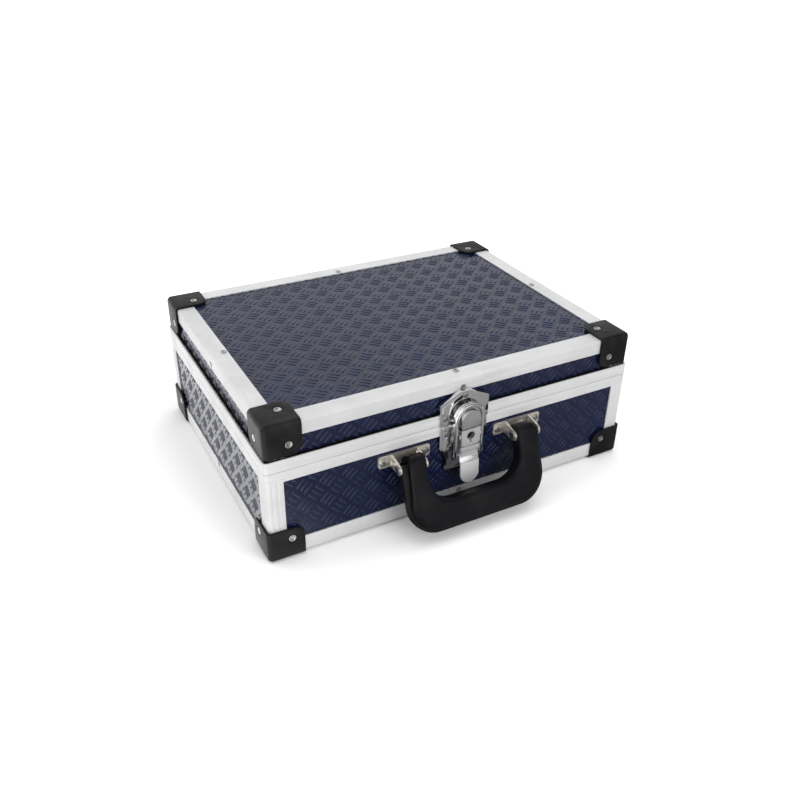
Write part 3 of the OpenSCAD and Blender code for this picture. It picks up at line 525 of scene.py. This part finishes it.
def pattern_repeat():
    bars = []
    for turn, shift in ((-45, 0), (45, PATTERN / 2)):
        for step in (-1, 0, 1):
            spin = Matrix.Rotation(math.radians(turn), 4, "Z")
            aside = Matrix.Translation((0, step * BAR_PITCH, 0))
            bars.append(placed(
                copy_of(one_bar), Matrix.Translation((shift, shift, 0)) @ spin @ aside
            ))
    return joined(bars)


one_repeat = pattern_repeat()
print("one repeat:", len(one_repeat.data.polygons), "faces")


# %% Tread over one window
def cut_at(piece, axis, level, keep_above):
    """Cuts a piece at a level along an axis, closes the cut and drops one side."""
    edit(piece)
    point, normal = Vector(), Vector()
    point[axis], normal[axis] = level, 1
    bpy.ops.mesh.bisect(
        plane_co=point, plane_no=normal, use_fill=True,
        clear_inner=keep_above, clear_outer=not keep_above
    )
    leave_edit()


def tread(name, low, high, phase):
    """Bars over the window between two corners in the plane z = 0."""
    piece = copy_of(one_repeat, name)
    first = [phase[i] + math.floor((low[i] - phase[i]) / PATTERN - 0.5) * PATTERN for i in (0, 1)]
    counts = [math.ceil((high[i] - first[i]) / PATTERN) + 1 for i in (0, 1)]
    for i, step in enumerate(((PATTERN, 0, 0), (0, PATTERN, 0))):
        apply_modifier(
            piece, "ARRAY", count=counts[i], use_relative_offset=False,
            use_constant_offset=True, constant_offset_displace=step
        )
    placed(piece, Matrix.Translation((*first, 0)))
    for axis in (0, 1):
        cut_at(piece, axis, low[axis], True)
        cut_at(piece, axis, high[axis], False)
    return smooth(piece, 70)


# %% [markdown]
# The same window maker serves all ten boards. Each board needs the plane that its outer face
# lies in, the turn that brings the flat pattern there, and the window between its profiles.
# The lid's boards lie deeper than its rim, so their bars run on down behind it.

# %% Treads on all ten boards
PHASE = (3.65 * MM, -3.55 * MM)
PAST_EDGE = 5 * MM
UPRIGHT = Matrix.Rotation(math.pi / 2, 4, "X")
TURN = {"top": Matrix.Identity(4), "bottom": Matrix.Rotation(math.pi, 4, "X")}
for side, degrees in (("front", 0), ("back", 180), ("left", -90), ("right", 90)):
    TURN[side] = Matrix.Rotation(math.radians(degrees), 4, "Z") @ UPRIGHT


def tread_on(body, side, low, high):
    """Tread on one board, over the window between two corners of the case."""
    node = f"{body}_{side}_panel"
    outward = TURN[side].to_3x3() @ Vector((0, 0, 1))
    plane = outward * max(corner.dot(outward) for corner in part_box(node))
    there = Matrix.Translation(plane) @ TURN[side]
    ends = [there.inverted() @ Vector(corner) for corner in (low, high)]
    lows, highs = ([pick(end[i] for end in ends) for i in (0, 1)] for pick in (min, max))
    piece = tread(f"{body}_{side}_tread", lows, highs, PHASE)
    placed(piece, there)
    dress(piece, body, sheet.material, "panel")
    paint(node, board.material)
    return len(piece.data.polygons)


LEVELS = {
    "base": (base_edge_high.z, rim_low.z),
    "lid": (lid_rim_high.z - PAST_EDGE, lid_edge_low.z),
}
faces = 0
for body, (low, high) in LEVELS.items():
    by_post, by_flange = INSET[body] + POST, INSET[body] + FLANGE
    for side in ("front", "back"):
        faces += tread_on(body, side, (by_post - HALF_W, 0, low), (HALF_W - by_post, 0, high))
    for side in ("left", "right"):
        faces += tread_on(body, side, (0, FRONT + by_post, low), (0, BACK - by_post, high))
    faces += tread_on(
        body, "top" if body == "lid" else "bottom",
        (by_flange - HALF_W, FRONT + by_flange, 0), (HALF_W - by_flange, BACK - by_flange, 0)
    )
for helper in (one_bar, one_repeat):
    bpy.data.objects.remove(helper)
print("tread faces:", faces)

# %% [markdown]
# ## Aluminium profiles
#
# The edge profiles are angles, mitred at the corners, and the posts are shorter angles with two
# shallow flutes down each leg. The copies get rounded edges, and the flutes are cut by round
# bars with a boolean, as a ball-nosed cutter would leave them.

# %% Edge profiles
for body in ("base", "lid"):
    for side, way in (("front", "x"), ("back", "x"), ("left", "y"), ("right", "y")):
        node = f"{body}_edge_{side}"
        piece = smooth(eased(merged_copy(node, node + "_bar"), EDGE_EASE))
        dress(piece, body, bars_finish[way], "profile", node)
print("edge profiles: 8")


# %% Fluted corner posts
FLUTES_IN = (5.2, 9.4)
FLUTE_RADIUS, FLUTE_DEPTH = 1.5 * MM, 0.3 * MM


def round_bar(start, along, length, radius, vertices=20):
    """A round bar from a point along one axis."""
    deselect()
    turn = {0: (0, math.pi / 2, 0), 1: (math.pi / 2, 0, 0), 2: (0, 0, 0)}[along]
    middle = Vector(start)
    middle[along] += length / 2
    bpy.ops.mesh.primitive_cylinder_add(
        vertices=vertices, radius=radius, depth=length, location=middle, rotation=turn
    )
    bar = bpy.context.object
    bpy.ops.object.transform_apply(location=True, rotation=True, scale=True)
    return bar


def cut_by(piece, cutters):
    """Cuts a piece by several others, which are used up."""
    cutter = joined(cutters)
    apply_modifier(piece, "BOOLEAN", operation="DIFFERENCE", object=cutter, solver="EXACT")
    bpy.data.objects.remove(cutter)
    return piece


def fluted_post(body, name, side_x, side_y):
    node = f"{body}_post_{name}"
    low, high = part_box(node)
    face_x = side_x * (HALF_W - INSET[body])
    face_y = MID_Y + side_y * ((BACK - FRONT) / 2 - INSET[body])
    aside = FLUTE_RADIUS - FLUTE_DEPTH
    cutters = []
    for inset in FLUTES_IN:
        at_front = (face_x - side_x * inset * MM, face_y + side_y * aside, low.z - MM)
        at_side = (face_x + side_x * aside, face_y - side_y * inset * MM, low.z - MM)
        for start in (at_front, at_side):
            cutters.append(round_bar(start, 2, high.z - low.z + 2 * MM, FLUTE_RADIUS))
    piece = cut_by(merged_copy(node, node + "_fluted"), cutters)
    return dress(smooth(eased(piece, POST_EASE)), body, bars_finish["z"], "profile", node)


CORNERS = {
    "front_left": (-1, -1), "front_right": (1, -1), "back_left": (-1, 1), "back_right": (1, 1)
}
for body in ("base", "lid"):
    for name, (side_x, side_y) in CORNERS.items():
        post = fluted_post(body, name, side_x, side_y)
print("post:", len(post.data.polygons), "faces")

# %% [markdown]
# The two rims close on each other, and their shut line is the seam. Each is one long profile,
# bent round the corners, with a fine groove that the extrusion die leaves a little way from its
# outer edge. The groove is cut by a wire that follows the same outline: a rectangle with its
# corners bevelled, turned into a curve that has a thickness.


# %% Grooved rims
EDGE_ROUND = 3.5 * MM
WIRE, WIRE_DEPTH = 0.45 * MM, 0.22 * MM
GROOVE_AT = {"base": 74.4 * MM, "lid": 88.0 * MM}


def outline_wire(level, inset, radius):
    """A round wire along the outline of the case at one height."""
    deselect()
    bpy.ops.mesh.primitive_plane_add(size=1, location=(0, MID_Y, level))
    wire = bpy.context.object
    wire.scale = (2 * (HALF_W - inset), BACK - FRONT - 2 * inset, 1)
    bpy.ops.object.transform_apply(location=True, rotation=True, scale=True)
    edit(wire)
    bpy.ops.mesh.bevel(offset=EDGE_ROUND - inset, segments=10, affect="VERTICES")
    bpy.ops.mesh.select_all(action="SELECT")
    bpy.ops.mesh.delete(type="ONLY_FACE")
    leave_edit()
    activate(wire)
    bpy.ops.object.convert(target="CURVE")
    wire.data.dimensions = "3D"
    wire.data.bevel_depth = radius
    wire.data.bevel_resolution = 2
    bpy.ops.object.convert(target="MESH")
    return wire


for body, level in GROOVE_AT.items():
    node = body + "_rim"
    wire = outline_wire(level, WIRE_DEPTH - WIRE, WIRE)
    piece = cut_by(merged_copy(node, node + "_grooved"), [wire])
    piece = smooth(eased(piece, RIM_EASE))
    dress(piece, body, bars_finish["round"], "profile", node)
    print(node, len(piece.data.polygons), "faces")

# %% [markdown]
# ## Corner guards and rivets
#
# A guard is a moulded cap of three walls. Its outer edges are already round in the CAD model;
# the copies only get soft free edges. The rivets that hold it are hollow: the head is a ring that
# was rolled over, with a dimple in the middle. A wide and a narrow one are modelled by insetting
# and sinking the top of a cylinder. The CAD rivets say where the copies go: each one is a loose
# part of its node, and the two equal sides of its box are its head's width.

# %% Corner guards
for body in ("base", "lid"):
    for name in CORNERS:
        node = f"{body}_guard_{name}"
        moulded_copy = merged_copy(node, node + "_moulded")
        piece = smooth(eased(moulded_copy, GUARD_EASE, segments=3), 45)
        dress(piece, body, guard_finish, "guard", node)
print("guard:", len(piece.data.polygons), "faces")


# %% One hollow rivet
def select_faces(piece, chosen):
    """Selects the faces for which a test on centre and normal holds, in edit mode."""
    edit(piece)
    bpy.ops.mesh.select_all(action="DESELECT")
    bpy.ops.mesh.select_mode(type="FACE")
    leave_edit()
    for face in piece.data.polygons:
        face.select = chosen(face.center, face.normal)
    activate(piece)
    bpy.ops.object.mode_set(mode="EDIT")


def hollow_rivet(head, height, dimple, depth, length):
    """A rivet along +Z with its head's top at z = 0."""
    deselect()
    bpy.ops.mesh.primitive_cylinder_add(
        vertices=28, radius=head, depth=height, location=(0, 0, -height / 2)
    )
    rivet = bpy.context.object
    bpy.ops.object.transform_apply(location=True, rotation=True, scale=True)
    select_faces(rivet, lambda centre, normal: normal.z > 0.9)
    bpy.ops.mesh.inset(thickness=head - dimple)
    bpy.ops.mesh.inset(thickness=dimple * 0.22)
    bpy.ops.transform.translate(value=(0, 0, -depth))
    leave_edit()
    select_faces(rivet, lambda centre, normal: normal.z < -0.9)
    bpy.ops.mesh.inset(thickness=head * 0.5)
    bpy.ops.mesh.extrude_region_move(TRANSFORM_OT_translate={"value": (0, 0, height - length)})
    leave_edit()
    return smooth(eased(rivet, 0.28, segments=3, sharp=50), 50)


# %% Rivets where the CAD has them
def loose_boxes(node):
    """The box of each loose solid in a CAD node."""
    piece = merged_copy(node, node + "_parts")
    edit(piece)
    bpy.ops.mesh.separate(type="LOOSE")
    leave_edit()
    boxes = []
    for part in list(bpy.context.selected_objects):
        by_axis = list(zip(*(vertex.co for vertex in part.data.vertices)))
        boxes.append([Vector([pick(axis) for axis in by_axis]) for pick in (min, max)])
        bpy.data.objects.remove(part)
    return boxes


def shaft_axis(low, high):
    """The axis of a round part, whose other two sides are equal, and its width."""
    size = high - low
    axis = min(range(3), key=lambda i: abs(size[(i + 1) % 3] - size[(i + 2) % 3]))
    return axis, size[(axis + 1) % 3]


def rivets_in(node, body, patterns):
    """Hollow rivets in the place of a CAD node's plain ones."""
    copies = []
    for low, high in loose_boxes(node):
        axis, width = shaft_axis(low, high)
        middle = (low + high) / 2
        side = math.copysign(1, middle[axis] - case_middle[axis])
        outward = Vector([side if i == axis else 0 for i in range(3)])
        middle[axis] = high[axis] if side > 0 else low[axis]
        turn = outward.to_track_quat("Z", "Y").to_matrix().to_4x4()
        pattern = min(patterns, key=lambda made: abs(made.dimensions.x - width))
        copies.append(placed(copy_of(pattern), Matrix.Translation(middle) @ turn))
    piece = joined(copies)
    piece.name = node + "_hollow"
    return dress(piece, body, rivet_steel, "fastener", node), len(copies)


guard_rivet = hollow_rivet(3.0 * MM, 1.0 * MM, 2.0 * MM, 0.75 * MM, 6.0 * MM)
edge_rivet = hollow_rivet(2.4 * MM, 0.7 * MM, 1.4 * MM, 0.3 * MM, 4.8 * MM)
for body in ("base", "lid"):
    made, count = rivets_in(body + "_rivets", body, (guard_rivet, edge_rivet))
    print(made.name, count, "rivets")
for helper in (guard_rivet, edge_rivet):
    bpy.data.objects.remove(helper)

# %% [markdown]
# ## Handle
#
# The handle is one U-shaped moulding: a thick, well rounded grip with a thinner flange round its
# outer edge, which shows as a lip. Both are made the same way. A strip of squares is laid
# along the U, extruded to its thickness and bevelled, with the wide bevels where the hand goes,
# and the grip's arms are drawn in at the top. A boolean joins the two, and another drills the
# hole for the pins. The handle hangs a little way out from the case, so the last step is to
# tilt it about its pivot.

# %% A moulding along a U
HANDLE_HALF, HANDLE_ARM, HANDLE_DROP, GRIP_HIGH = 62.8, 20.6, 57.4, 24.3
HANDLE_THICK, OUTER_ROUND, INNER_ROUND = 16.0, 25.0, 20.0
FLANGE_OUT, FLANGE_THICK, FLANGE_TOP = 2.4, 7.0, 2.0
HANDLE_TOP, TOP_ROUND = HANDLE_THICK / 2 - 0.1, 7.0
HANDLE_TILT = math.radians(22)
PIN_RADIUS = 2.05
ARC_STEPS = 14


def u_line(half, drop, radius, top):
    """Points down one side, round two corners and up the other, in millimetres."""
    points = [(-half, top), (-half, radius - drop)]
    for side, first in ((-1, 180), (1, 270)):
        for step in range(1, ARC_STEPS + 1):
            angle = math.radians(first + 90 * step / ARC_STEPS)
            x = side * (half - radius) + radius * math.cos(angle)
            points.append((x, radius - drop + radius * math.sin(angle)))
        if side < 0:
            points.append((half - radius, -drop))
    return points + [(half, top)]


def near_line(point, line):
    return any(math.hypot(point.x - x, point.z - z) < 0.01 for x, z in line)


def u_moulding(name, inset, thick, top, outer_bevel, inner_bevel, end_bevel):
    """A U of one thickness, with its own bevel on the outer, the inner and the end edges."""
    outer = u_line(HANDLE_HALF - inset, HANDLE_DROP - inset, OUTER_ROUND - inset, top)
    inner = u_line(HANDLE_HALF - HANDLE_ARM, HANDLE_DROP - GRIP_HIGH, INNER_ROUND, top)
    deselect()
    bpy.ops.mesh.primitive_grid_add(x_subdivisions=len(outer) - 1, y_subdivisions=1, size=2)
    piece = bpy.context.object
    piece.name = name
    for vertex in piece.data.vertices:
        station = round((vertex.co.x + 1) / 2 * (len(outer) - 1))
        x, z = (outer if vertex.co.y > 0 else inner)[station]
        vertex.co = Vector((x, -thick / 2, z)) * MM
    edit(piece)
    bpy.ops.mesh.extrude_region_move(TRANSFORM_OT_translate={"value": (0, thick * MM, 0)})
    bpy.ops.mesh.select_all(action="SELECT")
    bpy.ops.mesh.normals_make_consistent(inside=False)
    leave_edit()
    widest = max(outer_bevel, inner_bevel, end_bevel)
    weights = piece.data.attributes.new("bevel_weight_edge", "FLOAT", "EDGE")
    for edge in piece.data.edges:
        a, b = (piece.data.vertices[i].co / MM for i in edge.vertices)
        if abs(a.y - b.y) > 0.01:
            continue
        if min(a.z, b.z) > top - 0.01:
            weights.data[edge.index].value = end_bevel / widest
            continue
        for line, bevel in ((outer, outer_bevel), (inner, inner_bevel)):
            if all(near_line(end, line) for end in (a, b)):
                weights.data[edge.index].value = bevel / widest
    return apply_modifier(
        piece, "BEVEL", width=widest * MM, segments=7, limit_method="WEIGHT",
        use_clamp_overlap=False, miter_outer="MITER_SHARP"
    )


def round_arm_tops(piece):
    """Draw the arms in towards the top, so that each ends in a round."""
    inner_x = (HANDLE_HALF - HANDLE_ARM) * MM
    for vertex in piece.data.vertices:
        over = vertex.co.z / MM - (HANDLE_TOP - TOP_ROUND)
        if over > 0:
            inward = TOP_ROUND - math.sqrt(max(0, TOP_ROUND ** 2 - over ** 2))
            from_inner = (abs(vertex.co.x) - inner_x) * (1 - inward / HANDLE_ARM)
            vertex.co.x = math.copysign(inner_x + from_inner, vertex.co.x)


print("points along the U:", len(u_line(HANDLE_HALF, HANDLE_DROP, OUTER_ROUND, HANDLE_TOP)))

# %% Handle
GRIP_BEVELS, FLANGE_BEVELS = (5.6, 4.0, 7.0), (1.4, 1.4, 1.4)
grip = u_moulding("handle_moulding", FLANGE_OUT, HANDLE_THICK, HANDLE_TOP, *GRIP_BEVELS)
round_arm_tops(grip)
flange = u_moulding("flange", 0, FLANGE_THICK, FLANGE_TOP, *FLANGE_BEVELS)
apply_modifier(grip, "BOOLEAN", operation="UNION", object=flange, solver="EXACT")
bpy.data.objects.remove(flange)
handle_low, handle_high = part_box("handle")
pins_low, pins_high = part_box("handle_pins")
pivot = (pins_low + pins_high) / 2
pin_reach = HANDLE_HALF * 2.4 * MM
cut_by(grip, [round_bar((-pin_reach / 2, 0, 0), 0, pin_reach, PIN_RADIUS * MM, 32)])
placed(grip, Matrix.Translation(pivot) @ Matrix.Rotation(-HANDLE_TILT, 4, "X"))
smooth(grip, 45)
dress(grip, "handle", handle_finish, "handle", "handle")
lows = [min(vertex.co[i] for vertex in grip.data.vertices) for i in range(3)]
highs = [max(vertex.co[i] for vertex in grip.data.vertices) for i in range(3)]
print("handle", [round(1000 * v, 1) for v in lows], [round(1000 * v, 1) for v in highs])
print("CAD   ", [round(1000 * v, 1) for v in handle_low], [round(1000 * v, 1) for v in handle_high])

# %% [markdown]
# ## Latch, brackets and hinges
#
# These are all pressed from sheet. The chrome on a pressing is only as lively as its edges are
# round, so each copy gets a bevel of a few tenths of a millimetre, the hood the widest.

# %% Pressed fittings
FITTINGS = (
    ("latch_base_plate", "base", 0.35, chrome, "latch"),
    ("latch_strike_plate", "lid", 0.35, chrome, "latch"),
    ("latch_lever", "lever", 0.22, lever_chrome, "latch"),
    ("latch_hood", "hood", 0.45, chrome, "latch"),
    ("lock_plug", "lock", 0.15, lock_steel, "lock"),
    ("handle_bracket_left", "base", 0.15, nickel, "bracket"),
    ("handle_bracket_right", "base", 0.15, nickel, "bracket"),
    ("hinge_left_base_leaf", "base", 0.2, zinc, "hinge"),
    ("hinge_right_base_leaf", "base", 0.2, zinc, "hinge"),
    ("hinge_left_lid_leaf", "lid", 0.2, zinc, "hinge"),
    ("hinge_right_lid_leaf", "lid", 0.2, zinc, "hinge"),
)
for node, body, width, finish, slot in FITTINGS:
    piece = smooth(eased(merged_copy(node, node + "_pressed"), width), 40)
    dress(piece, body, finish, slot, node)
    print(node, len(piece.data.polygons), "faces")

# %% Rivets, pins and screws that keep their CAD shape
for node in (
    "latch_base_rivets", "latch_strike_rivets", "latch_pivot_rivets", "latch_hood_rivets",
    "hinge_base_rivets", "hinge_lid_rivets", "hinge_pins", "handle_pins",
):
    paint(node, rivet_steel)
paint("handle_bracket_screws", rivet_steel)

# %% [markdown]
# ## Floor and light
#
# The case stands on a plain white floor under soft light. Glossy things show what is round them,
# so the room matters as much as the lamps: it is bright behind, brighter to the left, dim above
# and to the right, and bright again in front. The lamps themselves are not mirrored.
# Where a shiny surface mirrors it, the floor glows on the left and is dark elsewhere. For the
# camera it fades to plain white away from the case.

# %% Floor
deselect()
bpy.ops.mesh.primitive_plane_add(size=12, location=(0, 0, 0))
floor = bpy.context.object
floor.name = "floor"
floor_finish = Finish("floor_paint", Roughness=0.9, Specular_IOR_Level=0.1, Emission_Strength=1.0)


def seen_by(ray):
    return Level(floor_finish, floor_finish.node("LightPath", output=f"Is {ray} Ray"))


def floor_axis(axis):
    made = floor_finish.node("SeparateXYZ", None, {0: floor_finish.place}, output=axis)
    return Level(floor_finish, made)


left_part = floor_finish.between(-1 * floor_axis(0) + 0.25 * floor_axis(1), 0.06, 0.15)
away = Level(floor_finish, floor_finish.node(
    "VectorMath", {"operation": "LENGTH"}, {0: floor_finish.place}, output="Value"
))
mirrored = seen_by("Glossy")
glow = mirrored * left_part * 0.7 + seen_by("Camera") * floor_finish.between(away, 0.22, 0.7)
shade = 0.88 - mirrored * (1 - left_part) * 0.68
WHITE, BLACK = (1, 1, 1), (0, 0, 0)
floor_finish.set(
    Base_Color=floor_finish.colours(shade, BLACK, WHITE),
    Emission_Color=floor_finish.colours(glow, BLACK, WHITE),
)
floor.data.materials.append(floor_finish.material)


# %% Soft panels
def soft_panel(name, at, towards, size, power):
    """A lamp that lights the case but is not mirrored in it."""
    deselect()
    bpy.ops.object.light_add(type="AREA", location=at)
    lamp = bpy.context.object
    lamp.name = name
    lamp.data.shape = "RECTANGLE"
    lamp.data.size, lamp.data.size_y = size
    lamp.data.energy = power
    lamp.rotation_euler = (Vector(at) - Vector(towards)).to_track_quat("Z", "Y").to_euler()
    lamp.visible_glossy = False
    return lamp


soft_panel("key_panel", (-1.6, 0.9, 1.5), (0, 0, 0.05), (2.0, 2.0), 16)
soft_panel("top_panel", (0.2, 0.3, 2.4), (0, 0, 0), (2.4, 2.4), 38)
soft_panel("front_panel", (0.5, -1.9, 0.8), (0, 0, 0.05), (1.4, 1.0), 33)

# %% White sky
world = bpy.data.worlds.new("studio")
bpy.context.scene.world = world
world.use_nodes = True
sky = world.node_tree
background = sky.nodes["Background"]
ray = sky.nodes.new("ShaderNodeLightPath")
direction = sky.nodes.new("ShaderNodeTexCoord")
parts = sky.nodes.new("ShaderNodeSeparateXYZ")
sky.links.new(direction.outputs["Generated"], parts.inputs[0])


def sky_range(value, from_min, from_max, to_min, to_max):
    spread = sky.nodes.new("ShaderNodeMapRange")
    for name, level in (("Value", value), ("From Min", from_min), ("From Max", from_max),
                        ("To Min", to_min), ("To Max", to_max)):
        if isinstance(level, bpy.types.NodeSocket):
            sky.links.new(level, spread.inputs[name])
        else:
            spread.inputs[name].default_value = level
    return spread.outputs[0]


room = sky_range(parts.outputs["Y"], 0.1, 0.7, 0.24, 1.02)
for axis, first, last, extra in (("X", -0.2, -0.7, 1.0), ("Y", -0.7, -0.95, 0.9)):
    added = sky.nodes.new("ShaderNodeMath")
    added.operation = "ADD"
    sky.links.new(room, added.inputs[0])
    sky.links.new(sky_range(parts.outputs[axis], first, last, 0.0, extra), added.inputs[1])
    room = added.outputs[0]
lit = sky_range(ray.outputs["Is Glossy Ray"], 0, 1, 0.62, room)
shown = sky_range(ray.outputs["Is Camera Ray"], 0, 1, lit, 1.0)
sky.links.new(shown, background.inputs["Strength"])
background.inputs["Color"].default_value = (1, 1, 1, 1)
print("studio ready")

# %% [markdown]
# The last cell brings the view layer up to date.

# %% View layer update
bpy.context.view_layer.update()
